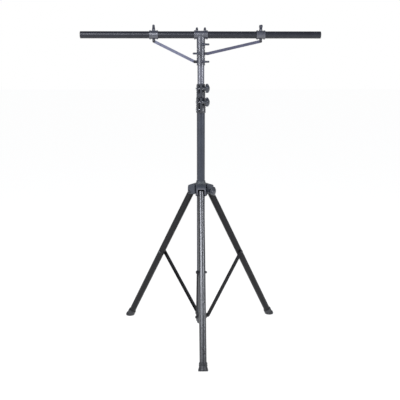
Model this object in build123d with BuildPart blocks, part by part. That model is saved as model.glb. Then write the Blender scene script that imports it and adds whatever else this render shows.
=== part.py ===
"""Lighting stand: a telescopic mast on a folding tripod, carrying a braced cross bar.

The origin is where the mast's axis meets the floor. +Z is up, +X runs along the cross bar
and -Y is the side of the front leg. All lengths are in millimetres.
"""
import os
from math import asin, atan2, copysign, cos, degrees, hypot, radians, sin

from build123d import *

# Fits
slide_gap = 0.3
pin_gap = 0.08

# Mast: three tubes, each sliding inside the next one down
tube_wall = 1.45
inner_tube_d = 35.0
middle_tube_d = inner_tube_d + 2 * (slide_gap + tube_wall)
outer_tube_d = middle_tube_d + 2 * (slide_gap + tube_wall)
outer_tube_bottom = 52.0
outer_tube_top = 1230.0
middle_tube_bottom = 96.0
middle_tube_top = 1303.0
inner_tube_bottom = 400.0
inner_tube_top = 1553.0

# Tripod: leg pivots on the sliding hub, feet on the floor, leg braces down to a fixed collar
leg_azimuths = {"front": -90.0, "right": 30.0, "left": 150.0}
leg_pivot_r = 56.5
leg_pivot_z = 776.0
foot_r = 470.0
leg_tube_d = 35.0
brace_on_leg = 405.0
collar_pivot_r = 32.0
collar_pivot_z = 90.0
leg_spread = atan2(foot_r - leg_pivot_r, leg_pivot_z)
leg_length = hypot(foot_r - leg_pivot_r, leg_pivot_z)
brace_pivot_r = leg_pivot_r + brace_on_leg * sin(leg_spread)
brace_pivot_z = leg_pivot_z - brace_on_leg * cos(leg_spread)
leg_brace_length = hypot(brace_pivot_r - collar_pivot_r, brace_pivot_z - collar_pivot_z)
leg_brace_spread = atan2(brace_pivot_r - collar_pivot_r, brace_pivot_z - collar_pivot_z)

# The fold: with the legs against the mast, the hub stands this much higher
folded_brace_spread = asin((leg_pivot_r - collar_pivot_r) / leg_brace_length)
folded_pivot_z = collar_pivot_z + leg_brace_length * cos(folded_brace_spread) + brace_on_leg
hub_travel = folded_pivot_z - leg_pivot_z

# Cross bar: two half tubes that meet in the T connector
bar_z = 1577.0
bar_tube_d = 35.0
bar_span = 1200.0

# Bar braces: from a lug on each mast collar to a saddle on the bar
saddle_pivot_drop = 31.0
left_lug_x = -31.0
right_lug_x = 34.5
upper_lug_z = 1486.0
lower_lug_z = 1446.0
left_saddle_x = -235.0
right_saddle_x = 299.0
saddle_pivot_z = bar_z - saddle_pivot_drop
strut_front_y = -6.3
strut_thickness = 4.0
strut_width = 14.5
lug_half_thickness = 2.0

os.makedirs("parts", exist_ok=True)


def save(piece, name):
    """Name a finished piece and write it as its own STEP file."""
    piece.label = name
    export_step(piece, f"parts/{name}.step")


def radial_plane(azimuth):
    """Upright plane through the mast's axis: x runs outwards at this azimuth and y runs up."""
    turn = radians(azimuth)
    return Plane(origin=(0, 0, 0), x_dir=(cos(turn), sin(turn), 0), z_dir=(sin(turn), -cos(turn), 0))


def outward_plane(azimuth, radius, height):
    """Plane square to a radius of the mast: x runs around the mast, y runs up, z runs outwards."""
    turn = radians(azimuth)
    outward = (cos(turn), sin(turn), 0)
    place = (radius * cos(turn), radius * sin(turn), height)
    return Plane(origin=place, x_dir=(-sin(turn), cos(turn), 0), z_dir=outward)


# Mast tubes: steel, painted, each with its lower end on a plastic guide

def mast_tube(outside_d, bottom, top):
    with BuildPart() as tube:
        with BuildSketch(Plane.XY.offset(bottom)):
            Circle(outside_d / 2)
            Circle(outside_d / 2 - tube_wall, mode=Mode.SUBTRACT)
        extrude(amount=top - bottom)
    return tube.part


save(mast_tube(outer_tube_d, outer_tube_bottom, outer_tube_top), "mast_outer_tube")
save(mast_tube(middle_tube_d, middle_tube_bottom, middle_tube_top), "mast_middle_tube")
save(mast_tube(inner_tube_d, inner_tube_bottom, inner_tube_top), "mast_inner_tube")

# Guide rings: a lip as wide as the tube, and a spigot plugged into its bore
guide_lip = 12.0
guide_spigot = 22.0
guide_wall = 2.4


def tube_guide(outside_d, bottom):
    spigot_r = outside_d / 2 - tube_wall - 0.05
    with BuildPart() as guide:
        with BuildSketch(Plane.XY.offset(bottom - guide_lip)):
            Circle(outside_d / 2)
        extrude(amount=guide_lip)
        chamfer(guide.edges().sort_by(Axis.Z)[0], 1.5)
        with BuildSketch(Plane.XY.offset(bottom)):
            Circle(spigot_r)
        extrude(amount=guide_spigot)
        with BuildSketch(Plane.XY.offset(bottom - guide_lip)):
            Circle(spigot_r - guide_wall)
        extrude(amount=guide_lip + guide_spigot, mode=Mode.SUBTRACT)
    return guide.part


save(tube_guide(middle_tube_d, middle_tube_bottom), "middle_guide")
save(tube_guide(inner_tube_d, inner_tube_bottom), "inner_guide")

# Plug that closes the mast's foot: a domed cap with a hollow spigot up the bore
plug_cap = 6.0
plug_spigot = 26.0

with BuildPart() as mast_bottom_plug:
    with BuildSketch(Plane.XY.offset(outer_tube_bottom - plug_cap)):
        Circle(outer_tube_d / 2)
    extrude(amount=plug_cap)
    chamfer(mast_bottom_plug.edges().sort_by(Axis.Z)[0], 2.5)
    with BuildSketch(Plane.XY.offset(outer_tube_bottom)):
        Circle(outer_tube_d / 2 - tube_wall - 0.05)
        Circle(outer_tube_d / 2 - tube_wall - 3, mode=Mode.SUBTRACT)
    extrude(amount=plug_spigot)
save(mast_bottom_plug.part, "mast_bottom_plug")

# Clamp collars: a ribbed barrel with two ears in front, pulled together by a bolt along X
clamp_wall = 3.7
rib_height = 6.0
rib_depth = 1.2
rib_pitch = 11.0
ear_left_x = -22.0
slit_left_x = -13.0
slit_right_x = -5.0
ear_right_x = 8.0
ear_inside = 10.0
ear_depth = 28.0
ear_mid_x = (ear_left_x + ear_right_x) / 2
ear_half_width = (ear_right_x - ear_left_x) / 2
groove_inset = 4.0
groove_width = 2.5
groove_depth = 1.2
clamp_bolt_y = -32.0
clamp_bolt_r = 3.0
lower_clamp_bottom = 1192.0
lower_clamp_top = 1266.6
upper_clamp_bottom = 1267.2
upper_clamp_top = 1335.0
lower_knob_z = 1246.0
lower_fixing_z = 1209.0
upper_knob_z = 1314.0


def tongue(half_width, round_z, top_z):
    """Face with upright sides and a half-round lower end, centred between the ears."""
    with BuildSketch() as face:
        with Locations((ear_mid_x, round_z)):
            Circle(half_width)
            Rectangle(2 * half_width, top_z - round_z, align=(Align.CENTER, Align.MIN))
    return face.sketch


def clamp_collar(bottom, top, grip_d, grip_top, slide_d, slit_bottom, bolt_heights):
    """Collar fixed on one tube up to grip_top; above that it closes on the tube that slides inside."""
    barrel_r = grip_d / 2 + clamp_wall
    round_z = bottom + 1 + ear_half_width
    groove_top_z = bolt_heights[0] - 9
    with BuildPart() as collar:
        with BuildSketch(Plane.XY.offset(bottom)):
            Circle(barrel_r - rib_depth)
        extrude(amount=top - bottom)
        rib_bottom = bottom
        while rib_bottom + rib_height <= top:
            with BuildSketch(Plane.XY.offset(rib_bottom)):
                Circle(barrel_r)
            extrude(amount=rib_height)
            rib_bottom += rib_pitch
        with BuildSketch(Plane.XZ.offset(ear_inside)):
            add(tongue(ear_half_width, round_z, top))
        extrude(amount=ear_depth)
        chamfer(collar.edges().group_by(Axis.Y)[0].filter_by(Axis.X, reverse=True), 2.5)
        with BuildSketch(Plane.XZ.offset(ear_inside + ear_depth)):
            add(tongue(ear_half_width - groove_inset, round_z, groove_top_z))
            add(tongue(ear_half_width - groove_inset - groove_width, round_z, groove_top_z), mode=Mode.SUBTRACT)
        extrude(amount=-groove_depth, mode=Mode.SUBTRACT)
        with BuildSketch(Plane.XY.offset(bottom)):
            Circle(grip_d / 2 + 0.02)
        extrude(amount=grip_top - bottom, mode=Mode.SUBTRACT)
        with BuildSketch(Plane.XY.offset(grip_top)):
            Circle(slide_d / 2 + slide_gap)
        extrude(amount=top - grip_top, mode=Mode.SUBTRACT)
        with BuildSketch(Plane.XY.offset(slit_bottom)):
            with Locations(((slit_left_x + slit_right_x) / 2, -ear_inside - ear_depth / 2)):
                Rectangle(slit_right_x - slit_left_x, ear_depth + 8)
        extrude(amount=top - slit_bottom, mode=Mode.SUBTRACT)
        for bolt_z in bolt_heights:
            with BuildSketch(Plane.YZ.offset(ear_left_x - 1)):
                with Locations((clamp_bolt_y, bolt_z)):
                    Circle(clamp_bolt_r + 0.1)
            extrude(amount=ear_right_x - ear_left_x + 2, mode=Mode.SUBTRACT)
    return collar.part


save(clamp_collar(lower_clamp_bottom, lower_clamp_top, outer_tube_d, outer_tube_top, middle_tube_d,
                  1201.0, (lower_knob_z, lower_fixing_z)), "lower_clamp")
save(clamp_collar(upper_clamp_bottom, upper_clamp_top, middle_tube_d, middle_tube_top, inner_tube_d,
                  1290.0, (upper_knob_z,)), "upper_clamp")

# Clamp bolts: chromed, with a hexagon head on the left; a knob or a nut draws up the right end
bolt_head_flats = 10.0
bolt_head_height = 5.0
washer_r = 8.0
washer_height = 1.4
knob_shank_end = 30.0


def clamp_bolt(bolt_z, shank_end_x):
    with BuildPart() as bolt:
        with BuildSketch(Plane.YZ.offset(ear_left_x - bolt_head_height)):
            with Locations((clamp_bolt_y, bolt_z)):
                RegularPolygon(bolt_head_flats / 2, 6, major_radius=False)
        extrude(amount=bolt_head_height)
        with BuildSketch(Plane.YZ.offset(ear_left_x)):
            with Locations((clamp_bolt_y, bolt_z)):
                Circle(clamp_bolt_r)
        extrude(amount=shank_end_x - ear_left_x)
    return bolt.part


def ring_on_bolt(bolt_z, outline_r, height, sides=0):
    """Washer, or a nut when it has sides, against the right ear."""
    with BuildPart() as ring:
        with BuildSketch(Plane.YZ.offset(ear_right_x)):
            with Locations((clamp_bolt_y, bolt_z)):
                if sides:
                    RegularPolygon(outline_r, sides, major_radius=False)
                else:
                    Circle(outline_r)
                Circle(clamp_bolt_r + 0.02, mode=Mode.SUBTRACT)
        extrude(amount=height)
    return ring.part


lower_fixing_end = ear_right_x + bolt_head_height
save(Compound(children=[
    clamp_bolt(lower_knob_z, knob_shank_end),
    ring_on_bolt(lower_knob_z, washer_r, washer_height),
    clamp_bolt(lower_fixing_z, lower_fixing_end),
    ring_on_bolt(lower_fixing_z, bolt_head_flats / 2, bolt_head_height, sides=6),
]), "lower_clamp_bolts")
save(Compound(children=[
    clamp_bolt(upper_knob_z, knob_shank_end),
    ring_on_bolt(upper_knob_z, washer_r, washer_height),
]), "upper_clamp_bolt")

# Lobed knobs: a neck, then a lobed head whose crown narrows in two steps
knob_lobes = 5
knob_neck_r = 9.0


def lobed_knob(plane, head_r, neck_height, head_height, bore_r=0.0, bore_depth=0.0, stud_r=0.0, stud_length=0.0):
    """Knob whose seat lies on the plane; the plane's z runs out through the knob's crown."""
    lobe_r = 0.3 * head_r
    rim_height = neck_height + 0.6 * head_height
    full_height = neck_height + head_height
    with BuildPart() as envelope:
        with BuildSketch(Plane.XZ):
            Polygon((0, 0), (knob_neck_r, 0), (knob_neck_r, neck_height), (head_r - 3, neck_height + 1),
                    (head_r, neck_height + 4), (head_r, rim_height), (0.6 * head_r, full_height - 3),
                    (0.3 * head_r, full_height), (0, full_height), align=None)
        revolve(axis=Axis.Z)
    with BuildPart() as knob:
        with BuildSketch():
            Circle(0.78 * head_r)
            with PolarLocations(head_r - lobe_r, knob_lobes):
                Circle(lobe_r)
        extrude(amount=full_height)
        add(envelope.part, mode=Mode.INTERSECT)
        if bore_r:
            with BuildSketch():
                Circle(bore_r)
            extrude(amount=bore_depth, mode=Mode.SUBTRACT)
        if stud_r:
            with BuildSketch():
                Circle(stud_r)
            extrude(amount=-stud_length)
    return plane.location * knob.part


knob_seat_x = ear_right_x + washer_height + 0.4
clamp_knob_r = 24.0
clamp_knob_neck = 12.5
clamp_knob_head = 21.5


def clamp_knob(knob_z):
    seat = Plane(origin=(knob_seat_x, clamp_bolt_y, knob_z), x_dir=(0, 0, 1), z_dir=(1, 0, 0))
    bore_depth = knob_shank_end - knob_seat_x + 1
    return lobed_knob(seat, clamp_knob_r, clamp_knob_neck, clamp_knob_head,
                      bore_r=clamp_bolt_r + pin_gap, bore_depth=bore_depth)


save(clamp_knob(lower_knob_z), "lower_clamp_knob")
save(clamp_knob(upper_knob_z), "upper_clamp_knob")

# Leg hub: a moulded barrel that slides on the outer tube, with three hooded clevises for the legs
hub_bottom = 770.0
hub_shoulder = 820.5
hub_barrel_r = 28.0
hood_bottom = 766.0
hood_inner_r = 23.0
hood_outer_r = 64.5
hood_brow_r = 42.0
hood_brow_z = 812.5
hood_width = 49.0
leg_slot_half_width = leg_tube_d / 2 + 0.75
leg_slot_height = 27.0
leg_slot_corner = 7.0
leg_slot_inner = 33.5
arch_rim_width = 4.5
arch_rim_height = 1.6
bush_r = outer_tube_d / 2 + slide_gap + 1.8
hub_bolt_r = 4.0
lock_azimuth = -30.0
lock_z = 788.0
lock_boss_r = 12.0
lock_boss_end = 56.0
lock_stud_r = 4.0

with BuildPart() as hood:
    with BuildSketch(Plane.XZ):
        with BuildLine():
            FilletPolyline((hood_inner_r, hood_bottom), (hood_inner_r, hub_shoulder), (hood_brow_r, hub_shoulder),
                           (hood_outer_r, hood_brow_z), (hood_outer_r, hood_bottom), radius=7.5, close=True)
        make_face()
    extrude(amount=hood_width / 2, both=True)
    fillet(hood.edges().filter_by(Axis.Y, reverse=True), 2.5)
    with BuildSketch(Plane.YZ.offset(hood_outer_r - 1)):
        with Locations((0, leg_pivot_z)):
            RectangleRounded(2 * leg_slot_half_width + 2 * arch_rim_width, 2 * leg_slot_height + 2 * arch_rim_width,
                             leg_slot_corner + arch_rim_width)
            Rectangle(hood_width, hood_width, align=(Align.CENTER, Align.MAX), mode=Mode.SUBTRACT)
    extrude(amount=1 + arch_rim_height)

with BuildPart() as leg_hub:
    with BuildSketch(Plane.XY.offset(hub_bottom)):
        Circle(hub_barrel_r)
    extrude(amount=hub_shoulder - hub_bottom)
    for azimuth in leg_azimuths.values():
        add(hood.part, rotation=(0, 0, azimuth))
    with BuildSketch(outward_plane(lock_azimuth, 20, lock_z)):
        Circle(lock_boss_r)
    extrude(amount=lock_boss_end - 20)
    for azimuth in leg_azimuths.values():
        with BuildSketch(outward_plane(azimuth, leg_slot_inner, leg_pivot_z)):
            RectangleRounded(2 * leg_slot_half_width, 2 * leg_slot_height, leg_slot_corner)
        extrude(amount=40, mode=Mode.SUBTRACT)
        with BuildSketch(radial_plane(azimuth)):
            with Locations((leg_pivot_r, leg_pivot_z)):
                Circle(hub_bolt_r + 0.05)
        extrude(amount=hood_width, both=True, mode=Mode.SUBTRACT)
    with BuildSketch(Plane.XY.offset(hood_bottom - 1)):
        Circle(bush_r + 0.02)
    extrude(amount=hub_shoulder - hood_bottom + 2, mode=Mode.SUBTRACT)
    with BuildSketch(outward_plane(lock_azimuth, 15, lock_z)):
        Circle(lock_stud_r + pin_gap)
    extrude(amount=lock_boss_end, mode=Mode.SUBTRACT)
save(leg_hub.part, "leg_hub")

# Hub bush: a thin liner with a flared ring standing on the hub's shoulder
bush_flare_r = 25.6
bush_flare_top = hub_shoulder + 6.0
bush_top_r = 23.2
bush_top = 838.5

with BuildPart() as hub_bush:
    with BuildSketch(Plane.XZ):
        bore_r = outer_tube_d / 2 + slide_gap
        Polygon((bore_r, hub_bottom), (bush_r, hub_bottom), (bush_r, hub_shoulder), (bush_flare_r, hub_shoulder),
                (bush_flare_r, bush_flare_top), (bush_top_r, bush_top), (bore_r, bush_top), align=None)
    revolve(axis=Axis.Z)
    with BuildSketch(outward_plane(lock_azimuth, 15, lock_z)):
        Circle(lock_stud_r + pin_gap)
    extrude(amount=20, mode=Mode.SUBTRACT)
save(hub_bush.part, "hub_bush")

# Lock knob: its stud passes through the boss and the bush, and bears on the mast
hub_knob_r = 23.5
hub_knob_seat = lock_boss_end + 0.6
hub_knob_stud = hub_knob_seat - outer_tube_d / 2 - 0.5
save(lobed_knob(outward_plane(lock_azimuth, hub_knob_seat, lock_z), hub_knob_r, 10, 19,
                stud_r=lock_stud_r, stud_length=hub_knob_stud), "hub_knob")

# Hub bolts: one through each clevis, with a socket head on one cheek and a nut on the other
hub_bolt_head = 4.5
hub_bolts = []
for azimuth in leg_azimuths.values():
    cheek = radial_plane(azimuth).offset(hood_width / 2)
    with BuildPart() as hub_bolt:
        with BuildSketch(cheek):
            with Locations((leg_pivot_r, leg_pivot_z)):
                Circle(7.5)
        extrude(amount=hub_bolt_head)
        chamfer(hub_bolt.edges().filter_by(GeomType.CIRCLE).sort_by(SortBy.DISTANCE)[-1], 1.5)
        with BuildSketch(cheek.offset(hub_bolt_head)):
            with Locations((leg_pivot_r, leg_pivot_z)):
                RegularPolygon(2.5, 6, major_radius=False)
        extrude(amount=-3, mode=Mode.SUBTRACT)
        with BuildSketch(cheek):
            with Locations((leg_pivot_r, leg_pivot_z)):
                Circle(hub_bolt_r)
        extrude(amount=-hood_width)
        with BuildSketch(cheek.offset(-hood_width)):
            with Locations((leg_pivot_r, leg_pivot_z)):
                RegularPolygon(6.5, 6, major_radius=False)
        extrude(amount=-hub_bolt_head)
    hub_bolts.append(hub_bolt.part)
save(Compound(children=hub_bolts), "hub_bolts")

# Lower collar: fixed at the mast's foot, with one ear beside each leg brace
collar_bottom = 58.0
collar_top = 112.0
collar_r = 26.0
ear_face_t = 17.7
ear_thickness = 6.0
ear_round_r = 9.5
brace_bolt_r = 3.0

with BuildPart() as lower_collar:
    with BuildSketch(Plane.XY.offset(collar_bottom)):
        Circle(collar_r)
    extrude(amount=collar_top - collar_bottom)
    chamfer(lower_collar.edges().filter_by(GeomType.CIRCLE), 1.5)
    for azimuth in leg_azimuths.values():
        with BuildSketch(radial_plane(azimuth).offset(ear_face_t - ear_thickness)):
            with Locations((collar_pivot_r, collar_pivot_z)):
                Circle(ear_round_r)
            Polygon((16, collar_pivot_z - 20), (24, collar_pivot_z - 20), (collar_pivot_r + 5, collar_pivot_z - 8),
                    (collar_pivot_r, collar_pivot_z + ear_round_r), (16, collar_pivot_z + ear_round_r), align=None)
        extrude(amount=ear_thickness)
        with BuildSketch(radial_plane(azimuth)):
            with Locations((collar_pivot_r, collar_pivot_z)):
                Circle(brace_bolt_r + 0.05)
        extrude(amount=40, mode=Mode.SUBTRACT)
    with BuildSketch(Plane.XY.offset(collar_bottom)):
        Circle(outer_tube_d / 2 + 0.02)
    extrude(amount=collar_top - collar_bottom, mode=Mode.SUBTRACT)
save(lower_collar.part, "lower_collar")

# Leg braces: pressed channels with round ends, beside each leg; their open side faces the leg
channel_width = 18.0
channel_depth = 8.0
channel_wall = 1.6
brace_outer_t = 26.6
brace_head_r = 7.0
brace_head_height = 4.5
brace_middle_r = (collar_pivot_r + brace_pivot_r) / 2
brace_middle_z = (collar_pivot_z + brace_pivot_z) / 2
brace_slope = 90 - degrees(leg_brace_spread)


def leg_brace(azimuth):
    outer_face = radial_plane(azimuth).offset(brace_outer_t)
    with BuildPart() as brace:
        with BuildSketch(outer_face):
            with Locations(Location((brace_middle_r, brace_middle_z), brace_slope)):
                SlotCenterToCenter(leg_brace_length, channel_width)
        extrude(amount=-channel_depth)
        with BuildSketch(outer_face.offset(-channel_wall)):
            with Locations(Location((brace_middle_r, brace_middle_z), brace_slope)):
                SlotCenterToCenter(leg_brace_length, channel_width - 2 * channel_wall)
        extrude(amount=-channel_depth, mode=Mode.SUBTRACT)
        with BuildSketch(outer_face):
            with Locations((collar_pivot_r, collar_pivot_z), (brace_pivot_r, brace_pivot_z)):
                Circle(brace_bolt_r + pin_gap)
        extrude(amount=-channel_depth, mode=Mode.SUBTRACT)
    return brace.part


def side_bolt(azimuth, pivot, head_face_t, shank_end_t, nut_t=None):
    """Bolt square to a leg's plane: socket head outside head_face_t, shank in to shank_end_t, maybe a nut."""
    face = radial_plane(azimuth).offset(head_face_t)
    with BuildPart() as bolt:
        with BuildSketch(face):
            with Locations(pivot):
                Circle(brace_head_r)
        extrude(amount=brace_head_height)
        chamfer(bolt.edges().filter_by(GeomType.CIRCLE).sort_by(SortBy.DISTANCE)[-1], 1.5)
        with BuildSketch(face.offset(brace_head_height)):
            with Locations(pivot):
                RegularPolygon(2.5, 6, major_radius=False)
        extrude(amount=-3, mode=Mode.SUBTRACT)
        with BuildSketch(face):
            with Locations(pivot):
                Circle(brace_bolt_r)
        extrude(amount=shank_end_t - head_face_t)
        if nut_t is not None:
            with BuildSketch(radial_plane(azimuth).offset(nut_t)):
                with Locations(pivot):
                    RegularPolygon(5.5, 6, major_radius=False)
            extrude(amount=-5)
    return bolt.part


collar_pivot = (collar_pivot_r, collar_pivot_z)
brace_pivot = (brace_pivot_r, brace_pivot_z)
ear_back_t = ear_face_t - ear_thickness
save(Compound(children=[
    side_bolt(azimuth, collar_pivot, brace_outer_t + slide_gap, ear_back_t - 2, nut_t=ear_back_t)
    for azimuth in leg_azimuths.values()
]), "lower_collar_bolts")

# Legs: straight tubes from the hub to rubber feet, drawn along their own axis
tube_above_pivot = 12.0
end_cap = 2.0
plug_spigot_end = 40.0
foot_start = leg_length - 38.0
foot_sole = leg_length + 5.0
tube_end = leg_length - 20.0
sole_r = 24.6


def leg_axis_plane(azimuth, distance):
    """Plane square to a leg at a distance from its hub pivot; z runs down the leg, x up and outwards."""
    turn = radians(azimuth)
    down_r = sin(leg_spread)
    down_z = -cos(leg_spread)
    radius = leg_pivot_r + distance * down_r
    place = (radius * cos(turn), radius * sin(turn), leg_pivot_z + distance * down_z)
    along = (down_r * cos(turn), down_r * sin(turn), down_z)
    return Plane(origin=place, x_dir=(-sin(turn), cos(turn), 0), z_dir=along)


def leg_tube(azimuth):
    with BuildPart() as tube:
        with BuildSketch(leg_axis_plane(azimuth, -tube_above_pivot)):
            Circle(leg_tube_d / 2)
            Circle(leg_tube_d / 2 - tube_wall, mode=Mode.SUBTRACT)
        extrude(amount=tube_end + tube_above_pivot)
        with BuildSketch(radial_plane(azimuth)):
            with Locations(brace_pivot):
                Circle(brace_bolt_r + 0.05)
            with Locations((leg_pivot_r, leg_pivot_z)):
                Circle(hub_bolt_r + pin_gap)
        extrude(amount=leg_tube_d, both=True, mode=Mode.SUBTRACT)
    return tube.part


def leg_end(azimuth):
    """Plastic plug in the leg's upper end: a thin cap, and a spigot that the hub bolt passes through."""
    leg_r = leg_tube_d / 2
    spigot_r = leg_r - tube_wall - 0.05
    with BuildPart() as turned:
        with BuildSketch(Plane.XZ):
            Polygon((0, -tube_above_pivot - end_cap), (leg_r - 1, -tube_above_pivot - end_cap),
                    (leg_r, -tube_above_pivot - end_cap + 1), (leg_r, -tube_above_pivot),
                    (spigot_r, -tube_above_pivot), (spigot_r, plug_spigot_end), (0, plug_spigot_end), align=None)
        revolve(axis=Axis.Z)
    with BuildPart() as plug:
        add(leg_axis_plane(azimuth, 0).location * turned.part)
        with BuildSketch(radial_plane(azimuth)):
            with Locations((leg_pivot_r, leg_pivot_z)):
                Circle(hub_bolt_r + pin_gap)
        extrude(amount=leg_tube_d, both=True, mode=Mode.SUBTRACT)
    return plug.part


def rubber_foot(azimuth):
    """Flared ferrule over the tube's end, cut flat where it stands on the floor."""
    sole = leg_axis_plane(azimuth, foot_start)
    foot_length = foot_sole - foot_start
    grip_r = leg_tube_d / 2
    with BuildPart() as ferrule:
        with BuildSketch(Plane.XZ):
            Polygon((0, 0), (grip_r + 2.3, 0), (grip_r + 3, 1.5), (grip_r + 3, 6), (grip_r + 4, 7),
                    (grip_r + 4, 9), (grip_r + 3, 10), (grip_r + 3, 14), (grip_r + 4, 15), (grip_r + 4, 17),
                    (grip_r + 3, 18), (grip_r + 3.6, 24), (sole_r - 0.8, 32), (sole_r, 36),
                    (sole_r, foot_length), (0, foot_length), align=None)
        revolve(axis=Axis.Z)
        with BuildSketch():
            Circle(grip_r + 0.02)
        extrude(amount=tube_end - foot_start + 0.02, mode=Mode.SUBTRACT)
    placed = sole.location * ferrule.part
    with BuildPart() as foot:
        add(placed)
        split(bisect_by=Plane.XY, keep=Keep.TOP)
    return foot.part


def leg_nut(azimuth):
    """Leg's half of the brace bolt: a shank across the tube, cut at the tube's wall, and its nut."""
    leg_r = leg_tube_d / 2
    with BuildPart() as nut:
        with BuildSketch(radial_plane(azimuth).offset(leg_r - 0.1)):
            with Locations(brace_pivot):
                Circle(brace_bolt_r)
        extrude(amount=-leg_tube_d)
        with BuildSketch(radial_plane(azimuth).offset(-leg_r - 0.1)):
            with Locations(brace_pivot):
                RegularPolygon(5.5, 6, major_radius=False)
        extrude(amount=-5)
    return nut.part


for side, azimuth in leg_azimuths.items():
    save(leg_tube(azimuth), f"leg_{side}")
    save(leg_end(azimuth), f"leg_end_{side}")
    save(rubber_foot(azimuth), f"foot_{side}")
    save(leg_nut(azimuth), f"leg_nut_{side}")
    save(leg_brace(azimuth), f"leg_brace_{side}")
    save(side_bolt(azimuth, brace_pivot, brace_outer_t, leg_tube_d / 2 + 0.6), f"brace_bolt_{side}")

# Wing screws: a cone-shaped hub, two rounded wings and a stud that bears on the tube

def wing_screw(plane, height, half_span, thickness, stud_r, stud_length):
    """Wing screw seated on the plane; z runs out of the screw and the wings lie along the plane's x."""
    tip_r = max(0.3 * height, thickness / 2)
    with BuildPart() as screw:
        with BuildSketch(Plane.XZ):
            with Locations((half_span - tip_r, height - tip_r), (tip_r - half_span, height - tip_r)):
                Circle(tip_r)
            with Locations((0, 2)):
                Rectangle(1.2 * thickness, 4)
            make_hull()
            with Locations((0, height + 0.1 * height)):
                Circle(0.36 * height, mode=Mode.SUBTRACT)
        extrude(amount=thickness / 2, both=True)
        chamfer(screw.edges().filter_by(Axis.Y, reverse=True), 0.22 * thickness)
        with BuildSketch():
            Circle(0.72 * thickness)
        extrude(amount=0.62 * height, taper=6)
        with BuildSketch():
            Circle(stud_r)
        extrude(amount=-stud_length)
    return plane.location * screw.part


# T head: a bar socket with raised rims, coped onto a sleeve over the inner tube
socket_r = 20.3
socket_length = 68.0
rim_r = 22.4
rim_width = 7.0
sleeve_r = 21.0
sleeve_bottom = 1510.0
bar_stop = 3.0
bar_screw_x = 20.0
bar_boss_top = bar_z + 24.0
side_boss_r = 7.0
side_boss_end = 28.0
screw_stud_r = 3.5
sleeve_screw_z = 1530.0
right_screw_azimuth = -60.0
left_screw_azimuth = -120.0
bar_clearance = 0.1

with BuildPart() as tee_head:
    with BuildSketch(Plane.YZ.offset(-socket_length / 2)):
        with Locations((0, bar_z)):
            Circle(socket_r)
    extrude(amount=socket_length)
    for rim_x in (-socket_length / 2, socket_length / 2 - rim_width):
        with BuildSketch(Plane.YZ.offset(rim_x)):
            with Locations((0, bar_z)):
                Circle(rim_r)
        extrude(amount=rim_width)
    with BuildSketch(Plane.XY.offset(sleeve_bottom)):
        Circle(sleeve_r)
    extrude(amount=bar_z - sleeve_bottom)
    with BuildSketch(Plane.XY.offset(bar_z)):
        with Locations((-bar_screw_x, 0), (bar_screw_x, 0)):
            Circle(6.5)
    extrude(amount=bar_boss_top - bar_z)
    with BuildSketch(outward_plane(right_screw_azimuth, 15, sleeve_screw_z)):
        Circle(side_boss_r)
    extrude(amount=side_boss_end - 15)
    for socket_start in (-socket_length / 2, bar_stop):
        with BuildSketch(Plane.YZ.offset(socket_start)):
            with Locations((0, bar_z)):
                Circle(bar_tube_d / 2 + bar_clearance)
        extrude(amount=socket_length / 2 - bar_stop, mode=Mode.SUBTRACT)
    with BuildSketch(Plane.XY.offset(sleeve_bottom)):
        Circle(inner_tube_d / 2 + slide_gap)
    extrude(amount=inner_tube_top + 1 - sleeve_bottom, mode=Mode.SUBTRACT)
    with BuildSketch(Plane.XY.offset(bar_z + 10)):
        with Locations((-bar_screw_x, 0), (bar_screw_x, 0)):
            Circle(screw_stud_r + pin_gap)
    extrude(amount=20, mode=Mode.SUBTRACT)
    with BuildSketch(outward_plane(right_screw_azimuth, 10, sleeve_screw_z)):
        Circle(screw_stud_r + pin_gap)
    extrude(amount=20, mode=Mode.SUBTRACT)
save(tee_head.part, "tee_head")

# Screws of the T head: two small ones down onto the bars, one from the side onto the inner tube
for side, screw_x in (("left", -bar_screw_x), ("right", bar_screw_x)):
    seat = Plane(origin=(screw_x, 0, bar_boss_top + 0.4), x_dir=(0, 1, 0), z_dir=(0, 0, 1))
    stud = bar_boss_top + 0.4 - bar_z - bar_tube_d / 2 - 0.4
    save(wing_screw(seat, 11.5, 14, 9, screw_stud_r, stud), f"tee_screw_{side}")

side_screw_seat = side_boss_end + 0.4
side_screw_stud = side_screw_seat - inner_tube_d / 2 - 0.5


def side_wing_screw(azimuth, height):
    return wing_screw(outward_plane(azimuth, side_screw_seat, height), 26, 20, 9.5, screw_stud_r, side_screw_stud)


save(side_wing_screw(right_screw_azimuth, sleeve_screw_z), "sleeve_screw")

# Cross bar: two half tubes and the plugs in their outer ends
bar_cap_height = 3.0
bar_cap_spigot = 18.0
bar_wall = 1.5
half_bar_length = bar_span / 2 - bar_cap_height - bar_stop

for side, direction in (("left", -1), ("right", 1)):
    inner_end = Plane.YZ.offset(direction * (bar_stop + 0.2))
    with BuildPart() as bar:
        with BuildSketch(inner_end):
            with Locations((0, bar_z)):
                Circle(bar_tube_d / 2)
                Circle(bar_tube_d / 2 - bar_wall, mode=Mode.SUBTRACT)
        extrude(amount=direction * (half_bar_length - 0.2))
    save(bar.part, f"bar_{side}")
    outer_end = Plane.YZ.offset(direction * (bar_stop + half_bar_length))
    with BuildPart() as bar_cap:
        with BuildSketch(outer_end):
            with Locations((0, bar_z)):
                Circle(bar_tube_d / 2)
        extrude(amount=direction * bar_cap_height)
        chamfer(bar_cap.edges().sort_by(Axis.X)[0 if direction < 0 else -1], 1.5)
        with BuildSketch(outer_end):
            with Locations((0, bar_z)):
                Circle(bar_tube_d / 2 - bar_wall - 0.05)
                Circle(bar_tube_d / 2 - bar_wall - 2.5, mode=Mode.SUBTRACT)
        extrude(amount=-direction * bar_cap_spigot)
    save(bar_cap.part, f"bar_cap_{side}")

# Brace collars: short sleeves on the inner tube, each with a welded lug and a screw on the other side
strut_bolt_r = 3.0
strut_head_r = 6.5
collar_rim_r = 21.6
collar_rim = 4.0


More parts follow.
